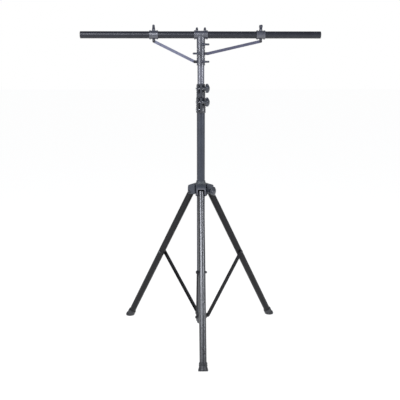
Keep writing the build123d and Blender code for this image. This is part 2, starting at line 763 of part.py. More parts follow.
def brace_collar(bottom, top, lug_x, lug_z, screw_azimuth):
    lug_root_x = copysign(15, lug_x)
    with BuildPart() as collar:
        with BuildSketch(Plane.XY.offset(bottom)):
            Circle(sleeve_r - 0.4)
        extrude(amount=top - bottom)
        for rim_bottom in (bottom, top - collar_rim):
            with BuildSketch(Plane.XY.offset(rim_bottom)):
                Circle(collar_rim_r)
            extrude(amount=collar_rim)
        with BuildSketch(outward_plane(screw_azimuth, 15, lug_z)):
            Circle(side_boss_r)
        extrude(amount=side_boss_end - 15)
        with BuildSketch(Plane.XZ.offset(-lug_half_thickness)):
            with Locations((lug_x, lug_z)):
                Circle(strut_width / 2)
            with Locations(((lug_x + lug_root_x) / 2, lug_z)):
                Rectangle(abs(lug_x - lug_root_x), strut_width)
        extrude(amount=2 * lug_half_thickness)
        with BuildSketch(Plane.XY.offset(bottom)):
            Circle(inner_tube_d / 2 + slide_gap)
        extrude(amount=top - bottom, mode=Mode.SUBTRACT)
        with BuildSketch(Plane.XZ.offset(-10)):
            with Locations((lug_x, lug_z)):
                Circle(strut_bolt_r + 0.05)
        extrude(amount=20, mode=Mode.SUBTRACT)
        with BuildSketch(outward_plane(screw_azimuth, 10, lug_z)):
            Circle(screw_stud_r + pin_gap)
        extrude(amount=20, mode=Mode.SUBTRACT)
    return collar.part


def lug_nut(lug_x, lug_z):
    """Lug's half of the strut bolt: a stub in the lug, cut at its front face, and a nut behind."""
    with BuildPart() as nut:
        with BuildSketch(Plane.XZ.offset(lug_half_thickness)):
            with Locations((lug_x, lug_z)):
                Circle(strut_bolt_r)
        extrude(amount=-2 * lug_half_thickness)
        with BuildSketch(Plane.XZ.offset(-lug_half_thickness)):
            with Locations((lug_x, lug_z)):
                RegularPolygon(5.5, 6, major_radius=False)
        extrude(amount=-5)
    return nut.part


save(brace_collar(1471.0, 1506.5, right_lug_x, upper_lug_z, left_screw_azimuth), "brace_collar_upper")
save(side_wing_screw(left_screw_azimuth, upper_lug_z), "collar_screw_upper")
save(lug_nut(right_lug_x, upper_lug_z), "lug_nut_upper")
save(brace_collar(1428.0, 1467.5, left_lug_x, lower_lug_z, right_screw_azimuth), "brace_collar_lower")
save(side_wing_screw(right_screw_azimuth, lower_lug_z), "collar_screw_lower")
save(lug_nut(left_lug_x, lower_lug_z), "lug_nut_lower")

# Saddles: spools that slide on the bar, with a screw boss on top and a lug below
saddle_length = 43.0
saddle_body_r = 20.4
saddle_rim_r = 22.2
saddle_rim = 8.0
saddle_boss_top = bar_z + 24.5
saddle_lug_end = saddle_pivot_z - 8


def saddle(saddle_x):
    with BuildPart() as spool:
        with BuildSketch(Plane.YZ.offset(saddle_x - saddle_length / 2)):
            with Locations((0, bar_z)):
                Circle(saddle_body_r)
        extrude(amount=saddle_length)
        for rim_x in (saddle_x - saddle_length / 2, saddle_x + saddle_length / 2 - saddle_rim):
            with BuildSketch(Plane.YZ.offset(rim_x)):
                with Locations((0, bar_z)):
                    Circle(saddle_rim_r)
            extrude(amount=saddle_rim)
        with BuildSketch(Plane.XY.offset(bar_z)):
            with Locations((saddle_x, 0)):
                Circle(8.5)
        extrude(amount=saddle_boss_top - bar_z)
        with BuildSketch(Plane.XZ.offset(-lug_half_thickness)):
            with Locations((saddle_x, saddle_pivot_z)):
                Circle(strut_width / 2)
            with Locations((saddle_x, (saddle_pivot_z + bar_z) / 2)):
                Rectangle(strut_width, bar_z - saddle_pivot_z)
        extrude(amount=2 * lug_half_thickness)
        with BuildSketch(Plane.YZ.offset(saddle_x - saddle_length)):
            with Locations((0, bar_z)):
                Circle(bar_tube_d / 2 + slide_gap)
        extrude(amount=2 * saddle_length, mode=Mode.SUBTRACT)
        with BuildSketch(Plane.XZ.offset(-10)):
            with Locations((saddle_x, saddle_pivot_z)):
                Circle(strut_bolt_r + 0.05)
        extrude(amount=20, mode=Mode.SUBTRACT)
        with BuildSketch(Plane.XY.offset(bar_z + 10)):
            with Locations((saddle_x, 0)):
                Circle(screw_stud_r + pin_gap)
        extrude(amount=20, mode=Mode.SUBTRACT)
    return spool.part


def saddle_rivet(saddle_x):
    """Rivet through the saddle's lug and the strut in front of it."""
    with BuildPart() as rivet:
        with BuildSketch(Plane.XZ.offset(-strut_front_y + slide_gap)):
            with Locations((saddle_x, saddle_pivot_z)):
                Circle(strut_head_r)
        extrude(amount=2.5)
        with BuildSketch(Plane.XZ.offset(-strut_front_y + slide_gap)):
            with Locations((saddle_x, saddle_pivot_z)):
                Circle(strut_bolt_r)
        extrude(amount=-(lug_half_thickness - strut_front_y + slide_gap))
        with BuildSketch(Plane.XZ.offset(-lug_half_thickness)):
            with Locations((saddle_x, saddle_pivot_z)):
                Circle(strut_head_r - 1)
        extrude(amount=-2)
    return rivet.part


saddle_screw_turns = {"left": 0.0, "right": 8.0}
for side, saddle_x in (("left", left_saddle_x), ("right", right_saddle_x)):
    save(saddle(saddle_x), f"saddle_{side}")
    save(saddle_rivet(saddle_x), f"saddle_rivet_{side}")
    turn = radians(saddle_screw_turns[side])
    seat = Plane(origin=(saddle_x, 0, saddle_boss_top + 0.4), x_dir=(-sin(turn), cos(turn), 0), z_dir=(0, 0, 1))
    stud = saddle_boss_top + 0.4 - bar_z - bar_tube_d / 2 - 0.4
    save(wing_screw(seat, 24, 18, 11, screw_stud_r, stud), f"saddle_screw_{side}")

# Struts: flat bars in front of the lugs, riveted at the saddle and bolted at the collar

def strut(saddle_x, lug_x, lug_z):
    length = hypot(saddle_x - lug_x, saddle_pivot_z - lug_z)
    middle = ((saddle_x + lug_x) / 2, (saddle_pivot_z + lug_z) / 2)
    slope = degrees(atan2(saddle_pivot_z - lug_z, saddle_x - lug_x))
    with BuildPart() as flat_bar:
        with BuildSketch(Plane.XZ.offset(-strut_front_y)):
            with Locations(Location(middle, slope)):
                SlotCenterToCenter(length, strut_width)
            with Locations((saddle_x, saddle_pivot_z)):
                Circle(strut_bolt_r + pin_gap, mode=Mode.SUBTRACT)
            with Locations((lug_x, lug_z)):
                Circle(strut_bolt_r + 0.02, mode=Mode.SUBTRACT)
        extrude(amount=-strut_thickness)
    return flat_bar.part


def strut_bolt(lug_x, lug_z):
    """Strut's half of the collar bolt: a domed head in front and a shank through the flat bar."""
    with BuildPart() as bolt:
        with BuildSketch(Plane.XZ.offset(-strut_front_y)):
            with Locations((lug_x, lug_z)):
                Circle(strut_head_r)
        extrude(amount=4)
        chamfer(bolt.edges().filter_by(GeomType.CIRCLE).sort_by(Axis.Y)[0], 1.8)
        with BuildSketch(Plane.XZ.offset(-strut_front_y)):
            with Locations((lug_x, lug_z)):
                Circle(strut_bolt_r)
        extrude(amount=-strut_thickness)
    return bolt.part


save(strut(left_saddle_x, left_lug_x, lower_lug_z), "strut_left")
save(strut_bolt(left_lug_x, lower_lug_z), "strut_bolt_left")
save(strut(right_saddle_x, right_lug_x, upper_lug_z), "strut_right")
save(strut_bolt(right_lug_x, upper_lug_z), "strut_bolt_right")
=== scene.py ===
from math import cos, pi, radians, sin, sqrt, tau

import bpy
from mathutils import Matrix, Vector


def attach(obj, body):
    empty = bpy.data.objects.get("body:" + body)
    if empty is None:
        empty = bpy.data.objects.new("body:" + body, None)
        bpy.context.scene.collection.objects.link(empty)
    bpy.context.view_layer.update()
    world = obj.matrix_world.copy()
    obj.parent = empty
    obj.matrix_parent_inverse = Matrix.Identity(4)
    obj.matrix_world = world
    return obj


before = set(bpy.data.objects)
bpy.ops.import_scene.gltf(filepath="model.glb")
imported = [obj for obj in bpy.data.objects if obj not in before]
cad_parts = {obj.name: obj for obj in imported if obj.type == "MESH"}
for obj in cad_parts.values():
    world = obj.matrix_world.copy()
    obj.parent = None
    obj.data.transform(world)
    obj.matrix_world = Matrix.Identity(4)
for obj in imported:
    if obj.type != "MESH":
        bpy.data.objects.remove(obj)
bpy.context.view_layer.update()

# The photograph's view. The camera stands 3.3 m in front of the mast, a little below the cross
# bar and tipped down, so that the feet are seen from above and the bar is almost level with it.
camera_distance = 3.300
camera_height = 1.453
camera_tip = radians(12.29)
camera_turn = radians(1.40)
mast_offset_turn = radians(0.076)

camera_data = bpy.data.cameras.new("photo_camera")
camera_data.sensor_width = 36.0
camera_data.lens = 57.7
camera = bpy.data.objects.new("photo_camera", camera_data)
camera.location = (-camera_distance * sin(camera_turn), -camera_distance * cos(camera_turn), camera_height)
camera.rotation_euler = (pi / 2 - camera_tip, 0, mast_offset_turn - camera_turn)
bpy.context.scene.collection.objects.link(camera)
bpy.context.scene.camera = camera
bpy.context.scene.view_settings.view_transform = "Standard"


# The studio: a pale floor without an edge, a white backdrop behind the stand, and three soft
# boxes in a dim room. The two tall ones lean in over the stand and draw the long highlights down
# its tubes, and the wide one lights the cross bar.
def add_node(material, kind, inputs=None, **settings):
    """A new node in a material or world, with its settings and the plain values of its sockets."""
    node = material.node_tree.nodes.new(kind)
    for setting, value in settings.items():
        setattr(node, setting, value)
    for socket, value in (inputs or {}).items():
        node.inputs[socket].default_value = value
    return node


def join(material, output, target):
    """Joins one socket to another."""
    material.node_tree.links.new(output, target)


def combine(material, operation, first, second):
    """One number out of two: MAXIMUM is the larger of them, MULTIPLY their product."""
    node = add_node(material, "ShaderNodeMath", operation=operation)
    join(material, first, node.inputs[0])
    join(material, second, node.inputs[1])
    return node.outputs[0]


def remap(material, source, low, high, to_low, to_high):
    """Stretches a range of numbers onto another, held at both ends."""
    node = add_node(material, "ShaderNodeMapRange", {1: low, 2: high, 3: to_low, 4: to_high})
    join(material, source, node.inputs[0])
    return node.outputs[0]


def mix_shaders(material, share, first, second):
    """The first shader where the share is 0, the second where it is 1."""
    node = add_node(material, "ShaderNodeMixShader")
    join(material, share, node.inputs["Fac"])
    join(material, first, node.inputs[1])
    join(material, second, node.inputs[2])
    return node.outputs[0]


backdrop_edge = 0.75
backdrop_full = 0.98


def backdrop_share(world):
    """1 where the white backdrop is seen: straight on, and in gloss towards the back of the studio."""
    rays = add_node(world, "ShaderNodeLightPath")
    gloss = combine(world, "MAXIMUM", rays.outputs["Is Glossy Ray"], rays.outputs["Is Transmission Ray"])
    direction = add_node(world, "ShaderNodeTexCoord")
    parts = add_node(world, "ShaderNodeSeparateXYZ")
    join(world, direction.outputs["Generated"], parts.inputs[0])
    towards_back = remap(world, parts.outputs["Y"], backdrop_edge, backdrop_full, 0.0, 1.0)
    in_gloss = combine(world, "MULTIPLY", gloss, towards_back)
    return combine(world, "MAXIMUM", rays.outputs["Is Camera Ray"], in_gloss)


fill_light = 0.30

surround = bpy.data.worlds.new("studio_surround")
surround.use_nodes = True
surround.node_tree.nodes.clear()
fill = add_node(surround, "ShaderNodeBackground", {"Color": (0.95, 0.97, 1.0, 1), "Strength": fill_light})
white = add_node(surround, "ShaderNodeBackground", {"Color": (1, 1, 1, 1), "Strength": 1.0})
surround_output = add_node(surround, "ShaderNodeOutputWorld")
join(surround, mix_shaders(surround, backdrop_share(surround), fill.outputs[0], white.outputs[0]),
     surround_output.inputs["Surface"])
bpy.context.scene.world = surround

soft_box_colour = (0.88, 0.91, 1.0)


def soft_box(name, one_end, other_end, aim, width, watts):
    """A long lamp between two points, turned to face the aim."""
    middle = (Vector(one_end) + Vector(other_end)) / 2
    along = Vector(other_end) - Vector(one_end)
    back = (middle - Vector(aim)).normalized()
    across = along.cross(back).normalized()
    upwards = back.cross(across)
    lamp = bpy.data.lights.new(name, "AREA")
    lamp.color = soft_box_colour
    lamp.shape = "RECTANGLE"
    lamp.size = width
    lamp.size_y = along.length
    lamp.energy = watts
    box = bpy.data.objects.new(name, lamp)
    box.matrix_world = Matrix.Translation(middle) @ Matrix((across, upwards, back)).transposed().to_4x4()
    bpy.context.scene.collection.objects.link(box)


soft_box("left_box", (-2.20, -1.50, 1.05), (-1.15, -2.25, 3.20), aim=(0, 0, 1.0), width=0.52, watts=40)
soft_box("right_box", (2.10, -1.70, 1.05), (2.30, -1.15, 3.20), aim=(0, 0, 1.0), width=0.48, watts=36)
soft_box("bar_box", (-1.40, -3.3, 2.9), (-0.05, -3.3, 2.9), aim=(0, 0, 1.5), width=0.80, watts=40)

floor_half = 30.0
floor_mesh = bpy.data.meshes.new("studio_floor")
floor_corners = [(-floor_half, -floor_half, 0), (floor_half, -floor_half, 0),
                 (floor_half, floor_half, 0), (-floor_half, floor_half, 0)]
floor_mesh.from_pydata(floor_corners, [], [(0, 1, 2, 3)])
studio_floor = bpy.data.objects.new("studio_floor", floor_mesh)
bpy.context.scene.collection.objects.link(studio_floor)

floor_grey = (0.90, 0.90, 0.90, 1)
floor_glow = 1.265
floor_glow_share = 0.72


def seen_directly_or_in_gloss(material):
    """1 for rays that the camera, a gloss or a clear material sends out, 0 for plain lighting."""
    rays = add_node(material, "ShaderNodeLightPath")
    seen = combine(material, "MAXIMUM", rays.outputs["Is Camera Ray"], rays.outputs["Is Glossy Ray"])
    return combine(material, "MAXIMUM", seen, rays.outputs["Is Transmission Ray"])


floor_paint = bpy.data.materials.new("studio_floor_paint")
floor_paint.use_nodes = True
floor_shader = floor_paint.node_tree.nodes["Principled BSDF"]
floor_shader.inputs["Base Color"].default_value = floor_grey
floor_shader.inputs["Roughness"].default_value = 0.9
floor_shader.inputs["Specular IOR Level"].default_value = 0.0
floor_white = add_node(floor_paint, "ShaderNodeEmission", {"Color": (1, 1, 1, 1), "Strength": floor_glow})
floor_share = add_node(floor_paint, "ShaderNodeMath", {1: floor_glow_share}, operation="MULTIPLY")
join(floor_paint, seen_directly_or_in_gloss(floor_paint), floor_share.inputs[0])
join(floor_paint,
     mix_shaders(floor_paint, floor_share.outputs[0], floor_shader.outputs[0], floor_white.outputs[0]),
     floor_paint.node_tree.nodes["Material Output"].inputs["Surface"])
floor_mesh.materials.append(floor_paint)


# The rubber feet: ferrules moulded of black rubber and pushed over the ends of the legs. They are
# dull, a little dusty just above the floor, and their flared soles stand flat.
def grain(material, scale, detail, stretch=(1, 1, 1)):
    """Noise fixed to the piece: scale counts its features in a metre, stretch draws them out."""
    place = add_node(material, "ShaderNodeTexCoord")
    mapping = add_node(material, "ShaderNodeMapping", {"Scale": stretch})
    noise = add_node(material, "ShaderNodeTexNoise", {"Scale": scale, "Detail": detail, "Roughness": 0.55})
    join(material, place.outputs["Object"], mapping.inputs["Vector"])
    join(material, mapping.outputs["Vector"], noise.inputs["Vector"])
    return noise.outputs["Fac"]


def spread(material, noise, to_low, to_high):
    """Stretches the middle of a noise, where most of its values lie, onto another range."""
    return remap(material, noise, 0.3, 0.7, to_low, to_high)


def blend_colours(material, share, first, second):
    """A colour between two: each is a plain colour or another node's output."""
    node = add_node(material, "ShaderNodeMix", data_type="RGBA")
    join(material, share, node.inputs["Factor"])
    for socket, colour in (("A", first), ("B", second)):
        target = [s for s in node.inputs if s.name == socket and s.type == "RGBA"][0]
        if isinstance(colour, tuple):
            target.default_value = (*colour, 1)
        else:
            join(material, colour, target)
    return [s for s in node.outputs if s.type == "RGBA"][0]


def new_finish(name, metallic=0.0, gloss_level=0.5, ior=1.5):
    """An empty finish: the plain values that are the same all over the surface."""
    material = bpy.data.materials.new(name)
    material.use_nodes = True
    shader = material.node_tree.nodes["Principled BSDF"]
    shader.inputs["Metallic"].default_value = metallic
    shader.inputs["Specular IOR Level"].default_value = gloss_level
    shader.inputs["IOR"].default_value = ior
    return material


def lay_on(material, colour, roughness, height, depth, strength):
    """Joins a colour, a roughness and a height map, depth metres deep, to the finish."""
    shader = material.node_tree.nodes["Principled BSDF"]
    bump = add_node(material, "ShaderNodeBump", {"Strength": strength, "Distance": depth})
    join(material, colour, shader.inputs["Base Color"])
    join(material, roughness, shader.inputs["Roughness"])
    join(material, height, bump.inputs["Height"])
    join(material, bump.outputs["Normal"], shader.inputs["Normal"])


def height_above_floor(material):
    """The height of a point at rest, in metres."""
    place = add_node(material, "ShaderNodeTexCoord")
    parts = add_node(material, "ShaderNodeSeparateXYZ")
    join(material, place.outputs["Object"], parts.inputs[0])
    return parts.outputs["Z"]


def paint(material, *node_names):
    """Gives CAD nodes a finish in place of the plain one that they came with."""
    for node_name in node_names:
        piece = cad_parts[node_name]
        for slot in piece.material_slots:
            slot.material = material


mm = 0.001
rubber_black = (0.010, 0.011, 0.014)
rubber_bloom = (0.024, 0.026, 0.032)
dust_grey = (0.060, 0.058, 0.056)
dust_top = 22 * mm
rubber_grain_depth = 0.04 * mm


def rubber_finish():
    """Black rubber with a cloudy bloom, and patches of dust that thin out up to dust_top."""
    rubber = new_finish("foot_rubber", gloss_level=0.7)
    cloudy = grain(rubber, 60, 4)
    base = blend_colours(rubber, cloudy, rubber_black, rubber_bloom)
    dust_height = remap(rubber, height_above_floor(rubber), 0.0, dust_top, 1.0, 0.0)
    dust_patches = remap(rubber, grain(rubber, 210, 5), 0.42, 0.68, 0.0, 0.6)
    dust = combine(rubber, "MULTIPLY", dust_height, dust_patches)
    colour = blend_colours(rubber, dust, base, dust_grey)
    roughness = spread(rubber, cloudy, 0.36, 0.46)
    lay_on(rubber, colour, roughness, grain(rubber, 1400, 3), rubber_grain_depth, 0.4)
    return rubber


leg_sides = ("front", "right", "left")
paint(rubber_finish(), *(f"foot_{side}" for side in leg_sides))


# The legs: round steel tubes, powder coated satin black and fitted over the plugs of their upper
# ends. The coat has a fine orange peel. The front leg has the same coat, given as a lit copy:
# glossier and darker, painted light that stands in for the stronger light falling on it.
peel_depth = 0.008 * mm


def coat_finish(name, dark, light, rough, gloss_level=0.5, ior=1.5):
    """Powder coat: cloudy in colour and gloss, with the dimples that the powder melts into."""
    finish = new_finish(name, gloss_level=gloss_level, ior=ior)
    cloudy = grain(finish, 28, 5)
    colour = blend_colours(finish, spread(finish, cloudy, 0, 1), dark, light)
    roughness = spread(finish, grain(finish, 40, 3), *rough)
    lay_on(finish, colour, roughness, grain(finish, 420, 2), peel_depth, 0.5)
    return finish


leg_coat = coat_finish("leg_powder_coat", dark=(0.007, 0.007, 0.008), light=(0.012, 0.012, 0.014),
                       rough=(0.34, 0.40), gloss_level=0.32)
# A lit copy of the leg coat for the front leg, glossier and darker: painted light, not a different finish.
front_leg_lit_coat = coat_finish("front_leg_painted_light_coat", dark=(0.004, 0.005, 0.009), light=(0.008, 0.010, 0.015),
                          rough=(0.27, 0.29), gloss_level=1.0, ior=1.62)
paint(leg_coat, "leg_right", "leg_left")
paint(front_leg_lit_coat, "leg_front")


# The leg braces: channels pressed from steel strip and powder coated in the same black as the
# legs, but duller. A bolt holds each one to its leg, and another to the collar at the mast's foot.
brace_coat = coat_finish("brace_powder_coat", dark=(0.007, 0.007, 0.008), light=(0.014, 0.014, 0.016),
                         rough=(0.42, 0.52), gloss_level=0.25)
paint(brace_coat, *(f"leg_brace_{side}" for side in leg_sides))


# The mast: three steel tubes, one inside the other. The outer one is powder coated satin black,
# and the two that slide inside it are glossy, with fine draw lines along their length.
draw_line_depth = 0.006 * mm
drawn_dark = (0.085, 0.089, 0.116)
drawn_light = (0.110, 0.115, 0.150)


def drawn_gloss_finish():
    """Gloss over drawn steel: noise stretched along the tube gives the lines of the die."""
    gloss = new_finish("drawn_gloss_coat", gloss_level=1.0, ior=1.7)
    lines = grain(gloss, 420, 3, stretch=(1, 1, 0.02))
    colour = blend_colours(gloss, spread(gloss, lines, 0, 1), drawn_dark, drawn_light)
    roughness = spread(gloss, lines, 0.24, 0.29)
    lay_on(gloss, colour, roughness, lines, draw_line_depth, 0.4)
    return gloss


mast_coat = coat_finish("mast_powder_coat", dark=(0.024, 0.029, 0.043), light=(0.035, 0.042, 0.060),
                        rough=(0.34, 0.40), gloss_level=0.6)
paint(mast_coat, "mast_outer_tube")
paint(drawn_gloss_finish(), "mast_middle_tube", "mast_inner_tube")


# The mouldings: dark nylon filled with glass, with the fine spark-eroded grain of their moulds.
# They are the leg hub and its bush, the two clamp collars, the collar at the mast's foot, and the
# plugs and guide rings of the tubes.
mould_grain_depth = 0.02 * mm
rim_highlight_grey = (0.17, 0.17, 0.19)


def moulded_finish(name, dark, light, rough, gloss_level=0.6, painted_highlight=None):
    """Moulded plastic; the optional function gives the share of a lighter grey, a painted highlight, at
    each point.
    """
    finish = new_finish(name, gloss_level=gloss_level)
    cloudy = grain(finish, 45, 4)
    colour = blend_colours(finish, spread(finish, cloudy, 0, 1), dark, light)
    if painted_highlight:
        colour = blend_colours(finish, painted_highlight(finish), colour, rim_highlight_grey)
    roughness = spread(finish, grain(finish, 120, 3), *rough)
    lay_on(finish, colour, roughness, grain(finish, 1800, 2), mould_grain_depth, 0.5)
    return finish


leg_azimuths = {"front": -90.0, "right": 30.0, "left": 150.0}
hood_face = 64.5 * mm
rim_foot = 0.6 * mm
rim_crest = 1.2 * mm


def outward_at(azimuth):
    """The direction straight out from the mast at an azimuth in degrees."""
    return Vector((cos(radians(azimuth)), sin(radians(azimuth)), 0))


def painted_rim_highlight(finish):
    """The share of lighter grey on the hub: a painted highlight on the raised rims round the mouths of the
    leg slots.
    """
    place = add_node(finish, "ShaderNodeTexCoord")
    reaches = []
    for azimuth in leg_azimuths.values():
        reach = add_node(finish, "ShaderNodeVectorMath", {1: outward_at(azimuth)}, operation="DOT_PRODUCT")
        join(finish, place.outputs["Object"], reach.inputs[0])
        reaches.append(reach.outputs["Value"])
    front, right, left = reaches
    furthest = combine(finish, "MAXIMUM", combine(finish, "MAXIMUM", front, right), left)
    return remap(finish, furthest, hood_face + rim_foot, hood_face + rim_crest, 0.0, 0.85)


# The hub's raised slot rims are painted a lighter grey: a painted highlight where their edges catch the
# light.
hub_nylon = moulded_finish("hub_nylon", dark=(0.036, 0.042, 0.054), light=(0.058, 0.066, 0.082),
                           rough=(0.42, 0.54), painted_highlight=painted_rim_highlight)
clamp_nylon = moulded_finish("clamp_nylon", dark=(0.010, 0.012, 0.020), light=(0.022, 0.026, 0.038),
                             rough=(0.28, 0.38), gloss_level=1.0)
# The bush is painted a lighter grey than the hub: painted light, standing in for the light its ring
# catches.
bush_plastic = moulded_finish("bush_plastic", dark=(0.050, 0.058, 0.064), light=(0.070, 0.080, 0.088),
                              rough=(0.34, 0.46))
plug_plastic = moulded_finish("plug_plastic", dark=(0.010, 0.010, 0.012), light=(0.022, 0.022, 0.026),
                              rough=(0.42, 0.55))
paint(hub_nylon, "leg_hub")
paint(clamp_nylon, "lower_clamp", "upper_clamp", "lower_collar")
paint(bush_plastic, "hub_bush")
paint(plug_plastic, "middle_guide", "inner_guide", "mast_bottom_plug", "bar_cap_left", "bar_cap_right",
      *(f"leg_end_{side}" for side in leg_sides))


# The knobs: lobed heads of semi-gloss plastic, each moulded round a steel stud. Two of them close
# the clamps of the mast, and the third locks the hub where the legs stand.
knob_plastic = moulded_finish("knob_plastic", dark=(0.020, 0.024, 0.034), light=(0.034, 0.040, 0.054),
                              rough=(0.26, 0.32), gloss_level=1.0)
paint(knob_plastic, "hub_knob", "lower_clamp_knob", "upper_clamp_knob")


# The clamp bolts: zinc-plated steel, brushed by the tools that tightened them. Their threads
# show in the slit between the ears of each clamp.
scratch_depth = 0.02 * mm
tarnished_zinc = (0.40, 0.41, 0.44)
bright_zinc = (0.66, 0.67, 0.70)


def plated_finish():
    """Zinc plate: patches of tarnish, and the scratches that a spanner leaves."""
    plated = new_finish("zinc_plate", metallic=1.0)
    scratches = grain(plated, 900, 4, stretch=(1, 0.15, 1))
    tarnish = spread(plated, grain(plated, 150, 3), 0, 1)
    colour = blend_colours(plated, tarnish, tarnished_zinc, bright_zinc)
    roughness = spread(plated, scratches, 0.24, 0.38)
    lay_on(plated, colour, roughness, scratches, scratch_depth, 0.4)
    return plated


def axes_across(along):
    """The direction of an axis, and two more at right angles to it and to each other."""
    axis = Vector(along).normalized()
    side = axis.orthogonal().normalized()
    return axis, side, axis.cross(side)


def spoke(side, up, step, around):
    """The direction to one step of a circle that lies on the two axes."""
    turn = tau * step / around
    return side * cos(turn) + up * sin(turn)


def wall_faces(rings, around, closed=False):
    """Faces from each ring of points to the next; closed joins the last ring to the first."""
    faces = []
    for ring in range(rings if closed else rings - 1):
        here = ring * around
        there = (ring + 1) % rings * around
        for step in range(around):
            beside = (step + 1) % around
            faces.append((here + step, here + beside, there + beside, there + step))
    return faces


def new_piece(name, points, faces, material, body, smooth=True):
    """A mesh from points in metres, with its finish, riding on a body."""
    mesh = bpy.data.meshes.new(name)
    mesh.from_pydata([tuple(p) for p in points], [], faces)
    mesh.materials.append(material)
    for face in mesh.polygons:
        face.use_smooth = smooth
    mesh.update()
    piece = bpy.data.objects.new(name, mesh)
    bpy.context.scene.collection.objects.link(piece)
    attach(piece, body)
    return piece


thread_pitch = 1.0
thread_facets = 20
rows_per_turn = 6


def thread(name, start, along, crest_r, root_r, length, material, body):
    """A screw thread from start: a rod whose radius winds between root and crest; all in mm."""
    axis, side, up = axes_across(along)
    rows = max(4, round(length / thread_pitch * rows_per_turn))
    points = []
    for row in range(rows + 1):
        travel = length * row / rows
        for step in range(thread_facets):
            wave = 0.5 + 0.5 * cos(tau * (travel / thread_pitch - step / thread_facets))
            radius = root_r + (crest_r - root_r) * wave
            outward = spoke(side, up, step, thread_facets)
            points.append((Vector(start) + axis * travel + outward * radius) * mm)
    faces = wall_faces(rows + 1, thread_facets)
    faces.append(tuple(reversed(range(thread_facets))))
    faces.append(tuple(range(rows * thread_facets, (rows + 1) * thread_facets)))
    return new_piece(name, points, faces, material, body)


zinc_plate = plated_finish()
paint(zinc_plate, "lower_clamp_bolts", "upper_clamp_bolt")

slit_thread_x = -12.8
slit_thread_length = 7.6
clamp_bolt_y = -32.0
clamp_bolt_r = 3.35
clamp_root_r = 2.9
for name, bolt_z, body in (("upper_knob_thread", 1314.0, "middle_mast"),
                           ("lower_knob_thread", 1246.0, "mast"),
                           ("fixing_thread", 1209.0, "mast")):
    thread(name, (slit_thread_x, clamp_bolt_y, bolt_z), (1, 0, 0), clamp_bolt_r, clamp_root_r,
           slit_thread_length, zinc_plate, body)


# The pivot bolts of the tripod: blackened steel. Each nut is locked by a ring of nylon, and the
# end of the bolt's thread stands out of it.
def turned_ring(name, outline, start, along, facets, material, body):
    """A ring turned about an axis: the outline is a closed loop of (radius, travel) in mm."""
    axis, side, up = axes_across(along)
    points = []
    for step in range(facets):
        outward = spoke(side, up, step, facets)
        for radius, travel in outline:
            points.append((Vector(start) + axis * travel + outward * radius) * mm)
    faces = [tuple(reversed(face)) for face in wall_faces(facets, len(outline), closed=True)]
    return new_piece(name, points, faces, material, body, smooth=False)


blackened = coat_finish("blackened_steel", dark=(0.010, 0.010, 0.012), light=(0.026, 0.026, 0.030),
                        rough=(0.30, 0.42), gloss_level=0.6)
lock_nylon = moulded_finish("lock_ring_nylon", dark=(0.10, 0.11, 0.13), light=(0.16, 0.17, 0.19),
                            rough=(0.40, 0.52))
paint(blackened, "hub_bolts", "lower_collar_bolts", "lug_nut_upper", "lug_nut_lower",
      "saddle_rivet_left", "saddle_rivet_right",
      *(f"leg_nut_{side}" for side in leg_sides), *(f"brace_bolt_{side}" for side in leg_sides))

thread_end_length = 3.0
thread_depth = 0.4
ring_fit = 0.1
ring_sunk = 0.3
ring_top = 1.5
ring_bevel_start = 0.9
ring_bevel = 0.8
ring_facets = 28


def locked_nut_end(name, place, along, bolt_r, ring_r, body):
    """The nylon ring on a nut's outer face, and the end of the thread that stands out of it."""
    bore_r = bolt_r + ring_fit
    outline = [(bore_r, -ring_sunk), (ring_r, -ring_sunk), (ring_r, ring_bevel_start),
               (ring_r - ring_bevel, ring_top), (bore_r, ring_top)]
    turned_ring(f"{name}_lock_ring", outline, place, along, ring_facets, lock_nylon, body)
    thread(f"{name}_thread_end", place, along, bolt_r, bolt_r - thread_depth, thread_end_length,
           blackened, body)


leg_pivot_out, leg_pivot_z = 56.5, 776.0
brace_pivot_out, brace_pivot_z = 246.96, 418.58
hub_nut_aside, hub_bolt_r, hub_ring_r = 29.0, 3.9, 5.8
leg_nut_aside, small_bolt_r, small_ring_r = 22.6, 2.9, 4.8
for side, azimuth in leg_azimuths.items():
    outward = outward_at(azimuth)
    nut_side = outward_at(azimuth + 90.0)
    hub_nut_face = outward * leg_pivot_out + nut_side * hub_nut_aside + Vector((0, 0, leg_pivot_z))
    leg_nut_face = outward * brace_pivot_out + nut_side * leg_nut_aside + Vector((0, 0, brace_pivot_z))
    locked_nut_end(f"hub_nut_{side}", hub_nut_face, nut_side, hub_bolt_r, hub_ring_r, "hub")
    locked_nut_end(f"leg_nut_end_{side}", leg_nut_face, nut_side, small_bolt_r, small_ring_r, f"leg_{side}")


# The cross bar: two steel tubes, powder coated satin black. They are pushed into the T head from
# both sides and held there by its two wing screws.
bar_coat = coat_finish("bar_powder_coat", dark=(0.007, 0.008, 0.014), light=(0.012, 0.014, 0.022),
                       rough=(0.34, 0.38))
paint(bar_coat, "bar_left", "bar_right")


# The T head, the saddles and the brace collars: steel tube and plate, enamelled dark grey. Their
# lugs and bosses are welded on, and the rippled beads of the welds show through the enamel.
head_enamel = coat_finish("head_enamel", dark=(0.034, 0.037, 0.052), light=(0.052, 0.056, 0.078),
                          rough=(0.26, 0.32), gloss_level=1.0, ior=1.62)
paint(head_enamel, "tee_head", "saddle_left", "saddle_right", "brace_collar_upper", "brace_collar_lower")

ripple_pitch = 2.4
ripple_low = 0.86
ripple_rise = 0.20
bead_facets = 8


